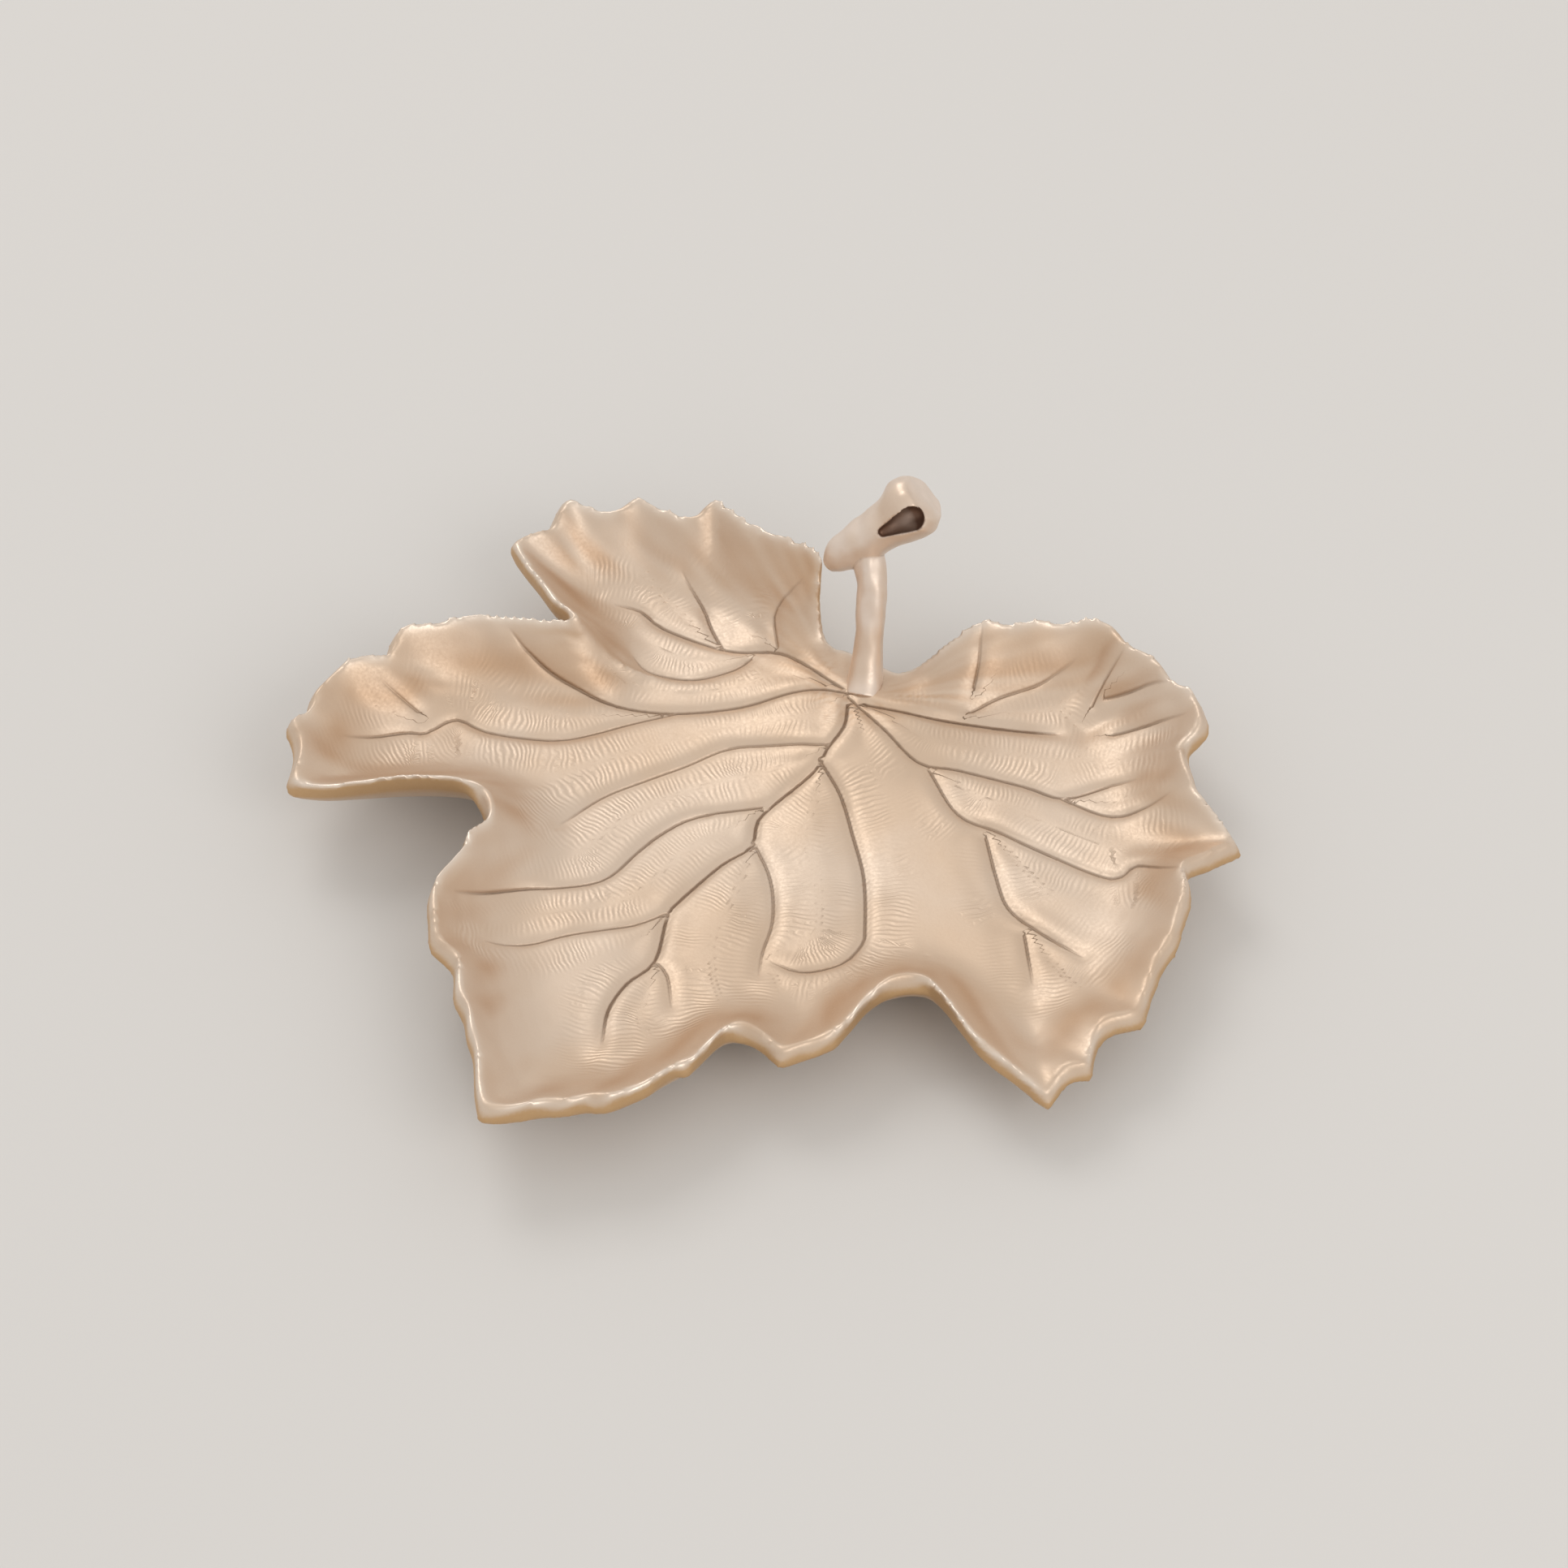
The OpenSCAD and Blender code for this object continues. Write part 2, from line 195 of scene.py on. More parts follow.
@dataclass(frozen=True)
class SatinPlate:
    """Cast metal, plated champagne gold and left satin, with its raised edges polished.

    The satin scatters light nearly as a matt paint does. Recesses are painted a brown shade, the
    valley inside the turned-up border a painted shade and warm reflection, and the upright side
    faces a darker, warmer painted shade. The twig's hollow holds a painted dark reflection. The
    polished rim is smoother, and painted paler as a painted highlight. The colours' shares are
    those where each shows most.
    """

    name: str = "satin_champagne_plate"
    satin: str = "#d8c4b0"
    warm: str = "#d0b293"
    recess_shade: str = "#7d6049"
    valley_shade: str = "#b98c60"
    side_shade: str = "#c9a271"
    hollow_reflection: str = "#5e3a24"
    rim_highlight: str = "#f3e6d8"
    metallic: float = 0.66
    roughness: float = 0.45
    roughness_spread: tuple[float, float] = (-0.05, 0.06)
    grain_size: float = 0.35
    grain_depth: float = 0.008
    grain_range: tuple[float, float] = (0.3, 0.7)
    cloud_size: float = 22.0
    cloud_range: tuple[float, float] = (0.4, 0.62)
    warm_share: float = 0.45
    bend_range: tuple[float, float] = (0.495, 0.44)
    crease_share: float = 0.55
    hollow_reflection_share: float = 0.9
    valley_shade_share: float = 0.45
    side_shade_share: float = 0.85
    rim_highlight_share: float = 0.8
    polished_sheen: float = 0.17
    line_share: float = 0.62
    line_width: float = 0.17
    line_depth: float = 0.16
    hatch_pitch: float = 0.65
    hatch_depth: float = 0.02
    hatch_sway: float = 3.0
    sway_size: float = 6.0
    patch_size: float = 9.0
    patch_range: tuple[float, float] = (0.4, 0.6)
    patch_least: float = 0.3
    carved: bool = True

    def material(self) -> bpy.types.Material:
        """Builds the node material.

        Returns:
            The material, which reads the leaf's own attributes where carved is set.
        """
        made = bpy.data.materials.new(self.name)
        made.use_nodes = True
        tree = made.node_tree
        shader = tree.nodes["Principled BSDF"]
        shader.inputs["Metallic"].default_value = self.metallic
        place = add_node(tree, "ShaderNodeTexCoord", {}, {}).outputs["Object"]
        cloudy = ranged(tree, soft_noise(tree, place, self.cloud_size, 3.0), self.cloud_range)
        colour = self._mixed(tree, cloudy, linear(self.satin), self.warm, self.warm_share)
        grain = soft_noise(tree, place, self.grain_size, 2.0)
        height = maths(tree, "MULTIPLY", grain, self.grain_depth)
        smoother, rougher = self.roughness_spread
        rough = ranged(tree, grain, self.grain_range,
                       (self.roughness + smoother, self.roughness + rougher))
        if self.carved:
            line = self._engraved(tree)
            rim = self._attribute(tree, Attribute.RIM)
            border = self._attribute(tree, Attribute.BORDER)
            wall = self._attribute(tree, Attribute.WALL)
            # Painted shade and warm reflection in the valley inside the turned-up border.
            colour = self._mixed(tree, border, colour, self.valley_shade, self.valley_shade_share)
            # Painted shade along the bottom of each vein groove, in the brown recess colour.
            colour = self._mixed(tree, line, colour, self.recess_shade, self.line_share)
            # Painted shade: the upright side faces are coloured darker and warmer than the top.
            colour = self._mixed(tree, wall, colour, self.side_shade, self.side_shade_share)
            # Painted highlight: the rim is coloured paler; the smoother roughness below is its real
            # polish.
            colour = self._mixed(tree, rim, colour, self.rim_highlight, self.rim_highlight_share)
            rough = maths(tree, "MULTIPLY_ADD", rim, -self.polished_sheen, rough)
            height = self._hatched(tree, place, height)
            height = maths(tree, "MULTIPLY_ADD", line, -self.line_depth, height)
        else:
            bend = add_node(tree, "ShaderNodeNewGeometry", {}, {}).outputs["Pointiness"]
            crease = ranged(tree, bend, self.bend_range)
            inside = self._attribute(tree, Attribute.HOLLOW)
            # Painted shade in the creases: where the surface curves inward, the colour turns to the
            # brown recess colour.
            colour = self._mixed(tree, crease, colour, self.recess_shade, self.crease_share)
            # Painted dark reflection inside the cut end's hollow.
            colour = self._mixed(tree, inside, colour, self.hollow_reflection, self.hollow_reflection_share)
        tree.links.new(colour, shader.inputs["Base Color"])
        tree.links.new(rough, shader.inputs["Roughness"])
        bump = add_node(tree, "ShaderNodeBump", {"Strength": 1.0, "Distance": MM},
                        {"Height": height})
        tree.links.new(bump.outputs["Normal"], shader.inputs["Normal"])
        return made

    def _attribute(self, tree: bpy.types.NodeTree, which: Attribute) -> bpy.types.NodeSocket:
        """Reads one of the mesh's own values."""
        settings = {"attribute_name": which.value}
        return add_node(tree, "ShaderNodeAttribute", settings, {}).outputs["Fac"]

    def _mixed(self, tree: bpy.types.NodeTree, share: bpy.types.NodeSocket,
               first: bpy.types.NodeSocket | Colour, second: str,
               most: float) -> bpy.types.NodeSocket:
        """Mixes a second colour over a first.

        Args:
            tree: the material's node tree.
            share: how much of the second colour shows, from 0 to 1.
            first: the first colour, or the socket that gives it.
            second: the second colour, as a hex string.
            most: the second colour's share where share is 1.

        Returns:
            The mixed colour's socket.
        """
        settings = {"operation": "MULTIPLY", 1: most, "use_clamp": True}
        part = add_node(tree, "ShaderNodeMath", settings, {0: share}).outputs[0]
        mix = add_node(tree, "ShaderNodeMix", {"data_type": "RGBA"}, {0: part})
        if isinstance(first, bpy.types.NodeSocket):
            tree.links.new(first, mix.inputs[6])
        else:
            mix.inputs[6].default_value = first
        mix.inputs[7].default_value = linear(second)
        return mix.outputs[2]

    def _engraved(self, tree: bpy.types.NodeTree) -> bpy.types.NodeSocket:
        """Draws the crisp line at the bottom of each vein, used as painted shade in the colour and
        as a dip in the bump.

        Args:
            tree: the material's node tree.

        Returns:
            The line, 1 in its middle and 0 beside it.
        """
        share = maths(tree, "DIVIDE", self._attribute(tree, Attribute.SIDE), self.line_width)
        fall = maths(tree, "MULTIPLY", maths(tree, "MULTIPLY", share, share), -1.0)
        line = maths(tree, "EXPONENT", fall)
        return maths(tree, "MULTIPLY", line, self._attribute(tree, Attribute.CUT))

    def _hatched(self, tree: bpy.types.NodeTree, place: bpy.types.NodeSocket,
                 height: bpy.types.NodeSocket) -> bpy.types.NodeSocket:
        """Adds the fine ribs that run across the panels, square to the nearest vein.

        Args:
            tree: the material's node tree.
            place: the Object coordinates.
            height: the height so far, in millimetres.

        Returns:
            The height with the ribs.
        """
        sway = soft_noise(tree, place, self.sway_size, 2.0)
        along = self._attribute(tree, Attribute.ALONG)
        phase = maths(tree, "MULTIPLY_ADD", sway, self.hatch_sway, along)
        rib = maths(tree, "SINE", maths(tree, "MULTIPLY", phase, 2 * math.pi / self.hatch_pitch))
        patch = soft_noise(tree, place, self.patch_size, 1.0)
        shown = ranged(tree, patch, self.patch_range, (self.patch_least, 1.0))
        strong = maths(tree, "MULTIPLY", shown, self._attribute(tree, Attribute.PANEL))
        deep = maths(tree, "MULTIPLY", strong, self.hatch_depth)
        return maths(tree, "MULTIPLY_ADD", rib, deep, height)


@dataclass(frozen=True)
class WoolFelt:
    """Pressed wool felt: matt, with short loose hairs that break up the light."""

    name: str = "pressed_wool_felt"
    dark: str = "#2f2b28"
    pale: str = "#5a534c"
    hair_size: float = 0.25
    hair_depth: float = 0.12
    roughness: float = 0.95
    sheen: float = 0.3

    def material(self) -> bpy.types.Material:
        """Builds the node material.

        Returns:
            The material.
        """
        made = bpy.data.materials.new(self.name)
        made.use_nodes = True
        tree = made.node_tree
        shader = tree.nodes["Principled BSDF"]
        shader.inputs["Roughness"].default_value = self.roughness
        shader.inputs["Sheen Weight"].default_value = self.sheen
        place = add_node(tree, "ShaderNodeTexCoord", {}, {}).outputs["Object"]
        hairs = soft_noise(tree, place, self.hair_size, 4.0)
        mix = add_node(tree, "ShaderNodeMix", {"data_type": "RGBA"}, {0: hairs})
        mix.inputs[6].default_value = linear(self.dark)
        mix.inputs[7].default_value = linear(self.pale)
        tree.links.new(mix.outputs[2], shader.inputs["Base Color"])
        settings = {"Strength": 1.0, "Distance": self.hair_depth * MM}
        bump = add_node(tree, "ShaderNodeBump", settings, {"Height": hairs})
        tree.links.new(bump.outputs["Normal"], shader.inputs["Normal"])
        return made


def placed(name: str, mesh: bpy.types.Mesh, material: bpy.types.Material,
           nodes: list[str]) -> bpy.types.Object:
    """Adds a finished mesh to the scene as a piece that rides on the frame.

    Args:
        name: the piece's name.
        mesh: its mesh, in the frame's place.
        material: its finish.
        nodes: the CAD nodes that it stands for.

    Returns:
        The piece.
    """
    mesh.materials.clear()
    mesh.materials.append(material)
    mesh.shade_smooth()
    piece = bpy.data.objects.new(name, mesh)
    bpy.context.scene.collection.objects.link(piece)
    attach(piece, BODY)
    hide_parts(*nodes)
    log.info("%s: %d faces", name, len(mesh.polygons))
    return piece


def cast_skin(source: bpy.types.Mesh, voxel: float, passes: int) -> bpy.types.Mesh:
    """Rounds a CAD node's facets into the even, soft skin of a casting.

    Args:
        source: the node's mesh, which isn't changed.
        voxel: the size of the new faces.
        passes: how often the skin is smoothed.

    Returns:
        A closed mesh of small quads.
    """
    mesh = source.copy()
    made = bmesh.new()
    made.from_mesh(mesh)
    bmesh.ops.remove_doubles(made, verts=made.verts, dist=1e-3 * MM)
    bmesh.ops.join_triangles(made, faces=made.faces, cmp_seam=False, cmp_sharp=False,
                             cmp_uvs=False, cmp_vcols=False, cmp_materials=False,
                             angle_face_threshold=math.radians(FLAT_ENOUGH),
                             angle_shape_threshold=math.radians(SQUARE_ENOUGH))
    crease = made.edges.layers.float.new("crease_edge")
    for edge in made.edges:
        if len(edge.link_faces) == 2 and edge.calc_face_angle() > math.radians(SHARP):
            edge[crease] = SHARP_CREASE
    made.to_mesh(mesh)
    made.free()
    work = bpy.data.objects.new("work", mesh)
    bpy.context.scene.collection.objects.link(work)
    smooth = work.modifiers.new("round", "SUBSURF")
    smooth.levels = smooth.render_levels = 1
    remesh = work.modifiers.new("even", "REMESH")
    remesh.mode = "VOXEL"
    remesh.voxel_size = voxel * MM
    soften = work.modifiers.new("soften", "SMOOTH")
    soften.factor = 0.5
    soften.iterations = passes
    graph = bpy.context.evaluated_depsgraph_get()
    skin = bpy.data.meshes.new_from_object(work.evaluated_get(graph))
    bpy.data.objects.remove(work)
    return skin


def store(mesh: bpy.types.Mesh, which: Attribute, values: np.ndarray) -> None:
    """Writes one value for each point of a mesh.

    Args:
        mesh: the mesh.
        which: the value's name.
        values: the values.
    """
    layer = mesh.attributes.new(which.value, "FLOAT", "POINT")
    layer.data.foreach_set("value", values.astype(np.float32))


def ramp(values: np.ndarray, start: float, end: float) -> np.ndarray:
    """Rises evenly from 0 at one value to 1 at another.

    Args:
        values: the values.
        start: where the result is 0.
        end: where it is 1, which may be the lower of the two.

    Returns:
        The results, from 0 to 1.
    """
    return np.clip((values - start) / (end - start), 0, 1)


def evened(mesh: bpy.types.Mesh, values: np.ndarray, passes: int = 3) -> np.ndarray:
    """Averages each point's value with those of its neighbours.

    Args:
        mesh: the mesh that the values belong to.
        values: one value for each of its points.
        passes: how often they are averaged.

    Returns:
        The averaged values.
    """
    ends = np.empty(len(mesh.edges) * 2, int)
    mesh.edges.foreach_get("vertices", ends)
    one, other = ends[::2], ends[1::2]
    count = len(values)
    share = np.bincount(one, minlength=count) + np.bincount(other, minlength=count) + 1
    for _ in range(passes):
        around = np.bincount(one, values[other], count) + np.bincount(other, values[one], count)
        values = (values + around) / share
    return values


def curve_through(points: np.ndarray, step: float) -> np.ndarray:
    """Runs a smooth curve through chosen points.

    Args:
        points: the points, one row each.
        step: the distance between the points returned.

    Returns:
        Points along the curve.
    """
    padded = np.vstack([2 * points[0] - points[1], points, 2 * points[-1] - points[-2]])
    route = []
    for a, b, c, d in zip(padded, padded[1:], padded[2:], padded[3:]):
        count = max(2, math.ceil(np.linalg.norm(c - b) / step))
        square = 2 * a - 5 * b + 4 * c - d
        cube = 3 * b - a - 3 * c + d
        for u in np.linspace(0, 1, count, endpoint=False):
            route.append(b + 0.5 * u * (c - a + u * (square + u * cube)))
    route.append(points[-1])
    return np.array(route)


@dataclass(frozen=True)
class Vein:
    """One engraved vein: its points about the junction, its share of the groove, its half width."""

    points: tuple[tuple[float, float], ...]
    depth: float = 0.5
    width: float = 0.42


VEINS = (
    Vein(((-1.4, 0.4), (-12, 2), (-19, -0.2), (-27.5, -0.9), (-31.5, 0), (-35, -0.9)), 0.55),
    Vein(((-19, -0.2), (-22, 2), (-25, 4.7), (-29.5, 7))),
    Vein(((-12.5, 2.6), (-15, 6), (-14.7, 8), (-12.6, 9.4)), 0.4, 0.6),
    Vein(((-15, 0), (-16, -2.5), (-20, -6.5), (-25.4, -8.1), (-28.3, -7.3))),
    Vein(((-0.6, 0.1), (-5, -1.6), (-11.5, -7.1), (-19.3, -12.3), (-26, -15), (-32.5, -16.6),
          (-37, -16.9), (-41, -16.4)), 0.6, 0.45),
    Vein(((-19.2, -12.4), (-23, -16.4), (-28.5, -22.8), (-33, -25.6), (-38, -27.6), (-42, -28),
          (-44, -32), (-46.5, -34), (-51, -40)), 0.5),
    Vein(((-46, -30.5), (-51, -31.2)), 0.4),
    Vein(((1, -8.5), (-4.5, -11), (-10, -14), (-13.5, -19), (-17, -24), (-20, -29), (-22, -35.6)),
          0.45),
    Vein(((0.2, -1.5), (1.6, -5), (1.4, -9), (1.5, -12), (-0.3, -18), (-1.1, -22), (0.2, -26),
          (-1.5, -30.5), (-3, -38), (-3, -41), (-0.6, -48), (-1.6, -53), (-1.2, -58), (1, -63)),
          0.7, 0.5),
    Vein(((-1.5, -20), (-8, -25.3), (-10.5, -30), (-11.5, -34), (-13, -40.5), (-19.5, -46.7),
          (-22.5, -51.5), (-24.5, -55.4)), 0.55),
    Vein(((0.2, -25.4), (5, -29.5), (8.5, -35), (10, -40), (11.6, -43.7)), 0.45),
    Vein(((-3.1, -40.3), (-5.8, -44.5), (-11, -49.3), (-15, -54), (-19, -57.5))),
    Vein(((0, -48.3), (2, -49.4), (5.2, -53.6)), 0.4),
    Vein(((1.3, -10.7), (6, -13.7), (10.4, -18.3), (15, -23.6), (19, -30.4), (20, -33),
          (19.3, -37), (15.6, -40.6), (11.7, -40.9)), 0.55),
    Vein(((-0.3, -0.5), (5.6, -2.6), (12, -4.5), (17, -2.8), (25.5, -1), (30.7, -0.4), (35.3, 4),
          (38, 5.3)), 0.55),
    Vein(((30.8, -0.6), (37.6, -0.4), (43.3, 3.6))),
    Vein(((13.9, -4.8), (20.3, -9), (26, -9), (33, -9.4), (42.3, -9.5), (44.5, -7), (50.8, -8.2)),
          0.5),
    Vein(((25.3, -10.7), (29.5, -15.8), (33, -19.3), (37.6, -20.9), (45, -22.3))),
    Vein(((36.9, -22.3), (41.5, -28.8))),
    Vein(((2, -0.4), (8.6, 1.6), (13.8, 4), (21, 6.9), (25.4, 8.5)), 0.9, 0.6),
    Vein(((13.9, 5.9), (16, 9.4), (19.8, 13.5), (22.7, 17.8)), 0.45),
    Vein(((12.9, 8.7), (12.4, 10.8), (11, 14)), 0.5, 0.5),
    Vein(((27.3, 13.7), (27.5, 16.5), (28.5, 19.7))),
    Vein(((28.4, 14.9), (33, 17), (36, 17.6))),
    Vein(((31.6, 11), (37, 13.7), (40, 14.5))),
)


@dataclass
class Leaf:
    """The dish itself: one casting with an engraved top, a turned-up border and a polished rim,
    painted paler there as a painted highlight.

    A pair of values is a ramp: the distance, or the normal's share of up, where it is 0 and where 1.
    """

    veins: tuple[Vein, ...] = VEINS
    voxel: float = 0.5
    passes: int = 3
    vein_step: float = 1.5
    upright: float = 0.35
    upward: float = 0.3
    rim_clear: tuple[float, float] = (0.0, 1.5)
    groove: float = 0.45
    valley_fill: float = 0.12
    valley_width: float = 2.0
    pillow: float = 0.22
    pillow_from: float = 1.3
    pillow_reach: float = 1.5
    # The rim's real polish and its painted highlight: width from the edge and the faces' lean.
    rim_width: float = 0.8
    rim_lean: tuple[float, float] = (0.3, 0.63)
    # wall_lean picks the upright side faces that get the painted side shade.
    wall_lean: tuple[float, float] = (0.5, 0.25)
    border: float = 8.0
    lump: float = 0.22
    lump_size: float = 3.0
    pleat: float = 0.45
    pleat_width: float = 2.6
    pleat_length: float = 9.0
    pleat_radius: float = 50.0
    pleat_seed: float = 7.3
    # Where the painted valley shade lies: its peak distance from the edge, its reach, and its
    # strength on the flat and in the pleats.
    brown_from: float = 4.5
    brown_reach: float = 2.4
    brown_flat: float = 0.45
    brown_pleat: float = 1.3
    line_end: tuple[float, float] = (2.4, 0.8)
    line_full: float = 0.5
    line_most: float = 1.4
    fork: tuple[float, float] = (0.0, 0.8)
    fork_clear: float = 0.3
    hatch_near: tuple[float, float] = (0.6, 2.1)
    hatch_far: tuple[float, float] = (6.5, 4.5)
    hatch_fork: tuple[float, float] = (0.4, 2.4)
    hatch_edge: tuple[float, float] = (2.0, 6.0)
    taper_length: float = 5.0
    taper_power: float = 0.7
    finish: SatinPlate = field(default_factory=SatinPlate)

    def build(self, frame: dict) -> bpy.types.Object:
        """Builds the leaf.

        Args:
            frame: the loaded frame.

        Returns:
            The finished piece.
        """
        mesh = cast_skin(frame["nodes"]["leaf"].data, self.voxel, self.passes)
        count = len(mesh.vertices)
        spots = np.empty(count * 3)
        normals = np.empty(count * 3)
        mesh.vertices.foreach_get("co", spots)
        mesh.vertices.foreach_get("normal", normals)
        spots = spots.reshape(-1, 3) / MM
        normals = normals.reshape(-1, 3)
        up = normals[:, 2] > self.upward
        edge = self._edge_gap(spots, np.abs(normals[:, 2]) < self.upright)
        top = np.flatnonzero(up)
        values = self._nearest_vein(spots[top, :2] - np.array(JUNCTION))
        gap, second, side, along, depth, width = (self._spread(count, top, v) for v in values)
        inside = ramp(edge, *self.rim_clear) * up
        bottom = np.exp(-(gap / width) ** 2)
        ridge = np.exp(-((gap - self.pillow_from) / self.pillow_reach) ** 2)
        fill = self.valley_fill * np.exp(-(gap / self.valley_width) ** 2)
        on_border = np.flatnonzero(up & (edge < self.border))
        lumps, pleats = self._cast_border(spots, edge, on_border)
        bumpy = (self.lump * lumps + self.pleat * pleats) * np.clip(1 - edge / self.border, 0, 1)
        spots[:, 2] += inside * (fill + self.pillow * ridge - self.groove * depth * bottom)
        spots[:, 2] += evened(mesh, bumpy)
        mesh.vertices.foreach_set("co", (spots * MM).ravel())

        lean = evened(mesh, normals[:, 2])
        # The rim's real polish (lower roughness) and its painted highlight (paler colour), along the
        # top edge.
        rim = np.exp(-(evened(mesh, edge) / self.rim_width) ** 2) * ramp(lean, *self.rim_lean)
        fork = np.where(gap < self.fork_clear, 1, ramp(second - gap, *self.fork))
        # cut places the line at each vein's bottom: painted shade in the colour and a dip in the
        # bump.
        cut = np.clip(depth / self.line_full, 0, self.line_most) * ramp(gap, *self.line_end)
        panel = ramp(gap, *self.hatch_near) * ramp(gap, *self.hatch_far)
        panel *= ramp(second - gap, *self.hatch_fork) * ramp(edge, *self.hatch_edge)
        # Painted shade and warm reflection in the valley a few millimetres inside the edge, stronger
        # in the pleats.
        brown = np.exp(-((edge - self.brown_from) / self.brown_reach) ** 2)
        brown *= np.clip(self.brown_flat + self.brown_pleat * pleats, 0, 1)
        store(mesh, Attribute.RIM, rim)
        # The upright side faces, which get a darker, warmer painted shade.
        store(mesh, Attribute.WALL, ramp(np.abs(lean), *self.wall_lean))
        store(mesh, Attribute.SIDE, side)
        store(mesh, Attribute.CUT, inside * fork * cut)
        store(mesh, Attribute.ALONG, along)
        store(mesh, Attribute.PANEL, up * panel)
        store(mesh, Attribute.BORDER, up * brown)
        return placed("leaf_dish", mesh, self.finish.material(), ["leaf"])

    def _spread(self, count: int, places: np.ndarray, values: np.ndarray) -> np.ndarray:
        """Gives every point of the skin a value, FAR where it has none of its own."""
        full = np.full(count, FAR)
        full[places] = values
        return full

    def _cast_border(self, spots: np.ndarray, edge: np.ndarray,
                     places: np.ndarray) -> tuple[np.ndarray, np.ndarray]:
        """Works out the uneven lumps of the border, and the pleats that run out across it.

        Args:
            spots: the skin's points.
            edge: their distances from the casting's edge.
            places: which of them are on the border.

        Returns:
            The lumps and the pleats, each from -1 to 1, 0 off the border.
        """
        lumps, pleats = np.zeros(len(spots)), np.zeros(len(spots))
        plan = spots[:, :2] - np.array(JUNCTION)
        turn = np.arctan2(plan[:, 1], plan[:, 0]) * self.pleat_radius / self.pleat_width
        for i in places:
            lumps[i] = noise.noise(Vector(spots[i]) / self.lump_size)
            across = Vector((turn[i], edge[i] / self.pleat_length, self.pleat_seed))
            pleats[i] = noise.noise(across)
        return lumps, pleats

    def _edge_gap(self, spots: np.ndarray, band: np.ndarray) -> np.ndarray:
        """Finds each point's distance from the casting's edge.

        Args:
            spots: the skin's points.
            band: which of them are on the upright edge face.

        Returns:
            The distances.
        """
        on_edge = spots[band]
        tree = kdtree.KDTree(len(on_edge))
        for i, spot in enumerate(on_edge):
            tree.insert(Vector(spot), i)
        tree.balance()
        return np.array([tree.find(Vector(spot))[2] for spot in spots])

    def _nearest_vein(self, plan: np.ndarray) -> tuple[np.ndarray, ...]:
        """Finds the vein nearest to each point of the leaf's plan.

        Args:
            plan: the points about the junction.

        Returns:
            The distance from the nearest vein and from the next one, the distance with a sign for
            its side, how far along the vein the point lies, and the vein's depth and half width.
        """
        best, second = np.full(len(plan), FAR), np.full(len(plan), FAR)
        side, along, depth = np.zeros(len(plan)), np.zeros(len(plan)), np.zeros(len(plan))
        width = np.ones(len(plan))
        for vein in self.veins:
            found = self._beside(vein, plan)
            near = found[0] < best
            second = np.where(near, best, np.minimum(second, found[0]))
            best = np.where(near, found[0], best)
            side = np.where(near, found[1], side)
            along = np.where(near, found[2], along)
            depth = np.where(near, found[3], depth)
            width = np.where(near, found[4], width)
        return best, second, side, along, depth, width

    def _beside(self, vein: Vein, plan: np.ndarray) -> tuple[np.ndarray, ...]:
        """Places each point of the plan beside one vein.

        Args:
            vein: the vein.
            plan: the points about the junction.

        Returns:
            The distance, the distance with its side's sign, how far along the vein the point lies,
            and the vein's depth and half width there.
        """
        route = curve_through(np.array(vein.points, float), self.vein_step)
        steps = np.linalg.norm(np.diff(route, axis=0), axis=1)
        lengths = np.concatenate([[0], np.cumsum(steps)])
        best, side, along = np.full(len(plan), FAR), np.zeros(len(plan)), np.zeros(len(plan))
        for a, b, start in zip(route, route[1:], lengths):
            way = b - a
            size = math.hypot(*way)
            off = plan - a
            run = off @ way / size
            share = np.clip(run / size, 0, 1)
            gap = np.linalg.norm(off - share[:, None] * way, axis=1)
            near = gap < best
            best = np.where(near, gap, best)
            turned = way[0] * off[:, 1] - way[1] * off[:, 0]
            side = np.where(near, np.copysign(gap, turned), side)
            along = np.where(near, start + run, along)
        taper = np.clip((lengths[-1] - along) / self.taper_length, 0, 1) ** self.taper_power
        return best, side, along, vein.depth * taper, vein.width * (0.6 + 0.4 * taper)


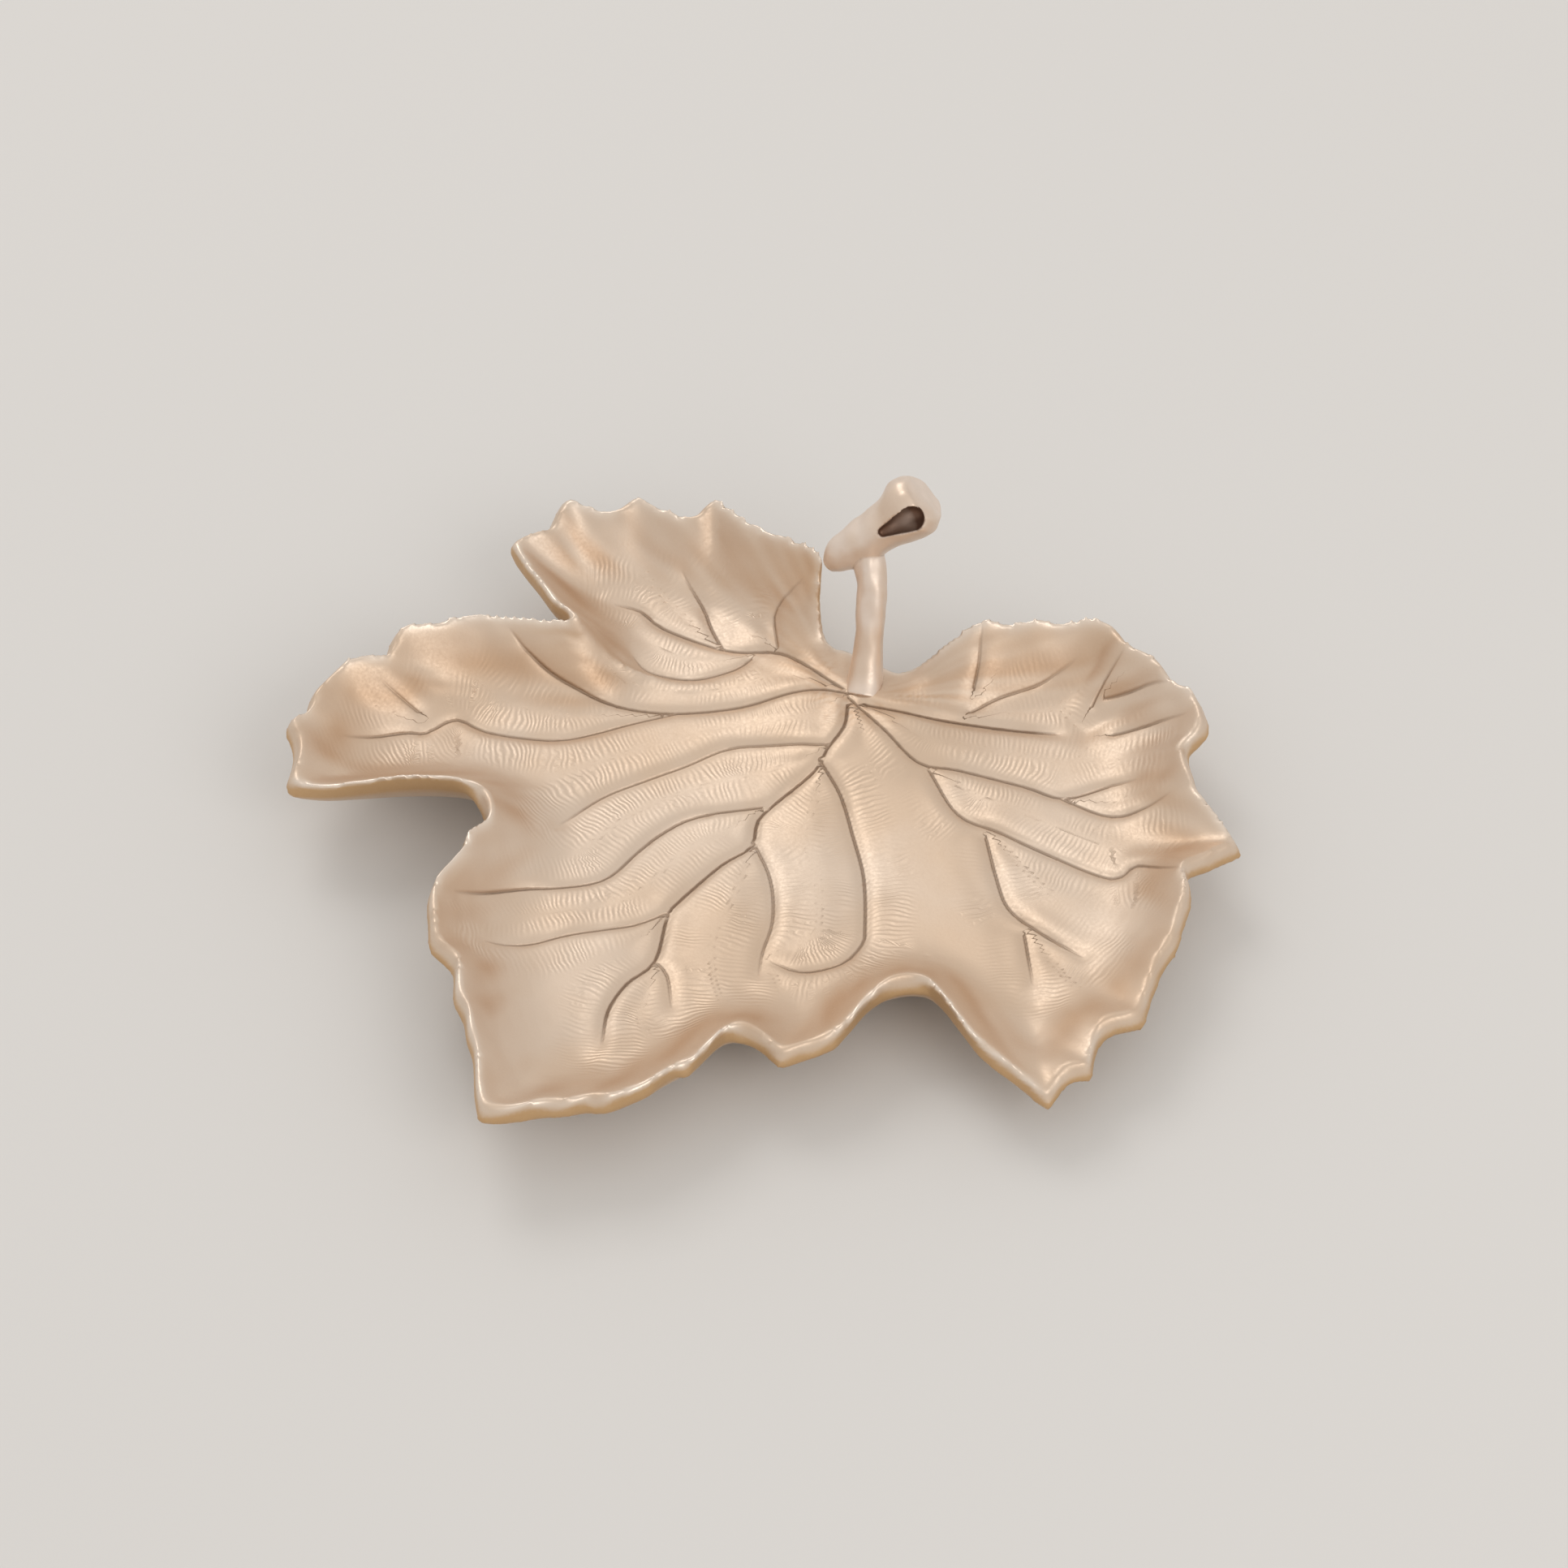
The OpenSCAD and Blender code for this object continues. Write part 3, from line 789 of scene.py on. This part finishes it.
@dataclass
class Twig:
    """The handle: an upright stalk and the short, flared piece of cane that it carries.

    The hollow's two ends and radii are those of the CAD, in the frame. Its inside is painted dark, a
    painted reflection.
    """

    voxel: float = 0.16
    passes: int = 4
    ridge: float = 0.2
    ridge_size: float = 1.6
    ridge_stretch: float = 0.35
    calm_foot: float = 3.0
    calm_fade: float = 4.0
    hollow_from: tuple[float, float, float] = (-2.68, 42.24, 25.2)
    hollow_to: tuple[float, float, float] = (0.32, 44.04, 27.7)
    hollow_radii: tuple[float, float] = (0.57, 1.7)
    hollow_fade: float = 0.2
    # The twig's creases get a stronger painted shade than the default finish gives.
    finish: SatinPlate = field(default_factory=lambda: SatinPlate(
        name="satin_champagne_twig", carved=False, cloud_size=9.0, roughness=0.4,
        satin="#e8d8ca", crease_share=0.8))

    def build(self, frame: dict) -> bpy.types.Object:
        """Builds the twig.

        Args:
            frame: the loaded frame.

        Returns:
            The finished piece.
        """
        mesh = cast_skin(frame["nodes"]["stem"].data, self.voxel, self.passes)
        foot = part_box("stem")[0][2] / MM + self.calm_foot
        start = Vector(self.hollow_from)
        way = Vector(self.hollow_to) - start
        narrow, wide = self.hollow_radii
        # How much of the painted dark reflection each point of the hollow gets.
        dark = np.zeros(len(mesh.vertices))
        for vertex in mesh.vertices:
            spot = vertex.co / MM
            share = min(max((spot - start).dot(way) / way.length_squared, 0), 1)
            gap = (spot - start - share * way).length - narrow - (wide - narrow) * share
            dark[vertex.index] = min(max(1 - gap / self.hollow_fade, 0), 1)
            rise = min(max((spot.z - foot) / self.calm_fade, 0), 1)
            squeezed = Vector((spot.x, spot.y, spot.z * self.ridge_stretch)) / self.ridge_size
            vertex.co += vertex.normal * (noise.noise(squeezed) * self.ridge * rise * MM)
        store(mesh, Attribute.HOLLOW, dark)
        return placed("twig_handle", mesh, self.finish.material(), ["stem"])


@dataclass
class Turned:
    """A low round piece, turned about an upright axis: a foot or a pad.

    Its upper rim is narrower than its lower one by its taper, and its rims are rounded.
    """

    node: str
    edge: float
    taper: float
    sides: int = 64
    rounding_steps: int = 4

    def build(self, name: str, material: bpy.types.Material, slot: str) -> bpy.types.Object:
        """Builds the piece in its CAD node's box.

        Args:
            name: the piece's name.
            material: its finish.
            slot: the record's material slot; not used.

        Returns:
            The finished piece.
        """
        low, high = (Vector(corner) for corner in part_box(self.node))
        middle = (low + high) / 2
        radius, height = (high.x - low.x) / 2, high.z - low.z
        made = bmesh.new()
        bmesh.ops.create_cone(made, cap_ends=True, segments=self.sides, radius1=radius,
                              radius2=radius - self.taper * MM, depth=height)
        bmesh.ops.translate(made, verts=made.verts, vec=middle)
        level = 1e-4 * MM
        rims = [e for e in made.edges if abs(e.verts[0].co.z - e.verts[1].co.z) < level]
        bmesh.ops.bevel(made, geom=rims, offset=self.edge * MM, offset_type="OFFSET",
                        segments=self.rounding_steps, profile=0.5, affect="EDGES", material=-1)
        mesh = bpy.data.meshes.new(name)
        made.to_mesh(mesh)
        made.free()
        return placed(name, mesh, material, [self.node])


@dataclass(frozen=True)
class SoftBox:
    """A square lamp that faces the dish: its place and side in metres, its power in watts."""

    name: str
    place: tuple[float, float, float]
    side: float
    power: float

    def build(self) -> None:
        """Adds the lamp to the scene."""
        data = bpy.data.lights.new(self.name, "AREA")
        data.size = self.side
        data.energy = self.power
        lamp = bpy.data.objects.new(self.name, data)
        lamp.location = self.place
        lamp.rotation_euler = Vector(self.place).to_track_quat("Z", "Y").to_euler()
        bpy.context.scene.collection.objects.link(lamp)


@dataclass
class Studio:
    """The plain pale floor, the soft lights and the camera at the photograph's angle.

    Angles are degrees. The camera's aim is in millimetres, its distance and the floor in metres.
    """

    azimuth: float = 30.0
    elevation: float = 50.0
    lens: float = 110.0
    sensor: float = 36.0
    distance: float = 0.602
    aim: tuple[float, float, float] = (-0.36, 13.31, 7.0)
    floor: str = "#d8d5d1"
    floor_half: float = 3.0
    floor_roughness: float = 0.9
    sky: float = 0.88
    sky_colour: str = "#f2f0ee"
    lamps: tuple[SoftBox, ...] = (
        SoftBox("key", (-0.5, 0.3, 0.75), 0.4, 1.5),
        SoftBox("fill", (0.7, -0.2, 0.6), 0.5, 1.6),
    )

    def camera(self) -> None:
        """Sets the camera."""
        around, above = math.radians(self.azimuth), math.radians(self.elevation)
        out = math.cos(above)
        back = Vector((math.sin(around) * out, -math.cos(around) * out, math.sin(above)))
        data = bpy.data.cameras.new("camera")
        data.lens = self.lens
        data.sensor_width = self.sensor
        data.clip_start = 0.01
        camera = bpy.data.objects.new("camera", data)
        camera.location = Vector(self.aim) * MM + back * self.distance
        camera.rotation_euler = back.to_track_quat("Z", "Y").to_euler()
        bpy.context.scene.collection.objects.link(camera)
        bpy.context.scene.camera = camera

    def build(self) -> None:
        """Builds the studio."""
        scene = bpy.context.scene
        scene.view_settings.view_transform = "Standard"
        world = bpy.data.worlds.new("studio")
        world.use_nodes = True
        sky = world.node_tree.nodes["Background"]
        sky.inputs["Color"].default_value = linear(self.sky_colour)
        sky.inputs["Strength"].default_value = self.sky
        scene.world = world
        made = bmesh.new()
        bmesh.ops.create_grid(made, x_segments=1, y_segments=1, size=self.floor_half)
        mesh = bpy.data.meshes.new("floor")
        made.to_mesh(mesh)
        made.free()
        paint = bpy.data.materials.new("matt_floor")
        paint.use_nodes = True
        shader = paint.node_tree.nodes["Principled BSDF"]
        shader.inputs["Base Color"].default_value = linear(self.floor)
        shader.inputs["Roughness"].default_value = self.floor_roughness
        mesh.materials.append(paint)
        floor = bpy.data.objects.new("floor", mesh)
        scene.collection.objects.link(floor)
        for lamp in self.lamps:
            lamp.build()
        self.camera()


def main() -> None:
    """Builds the dish and its studio."""
    logging.basicConfig(level=logging.INFO, format="%(name)s: %(message)s")
    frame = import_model()
    Leaf().build(frame)
    Twig().build(frame)
    # The feet share the satin finish, with painted shade in their creases.
    metal = SatinPlate(name="satin_champagne_foot", carved=False).material()
    felt = WoolFelt().material()
    for side in ("front", "left", "right"):
        foot = Turned(f"foot_{side}", edge=0.35, taper=0.0)
        foot.build(f"cast_foot_{side}", metal, METAL_SLOT)
        pad = Turned(f"pad_{side}", edge=0.2, taper=0.05)
        pad.build(f"felt_pad_{side}", felt, FELT_SLOT)
    Studio().build()


if __name__ == "__main__":
    main()
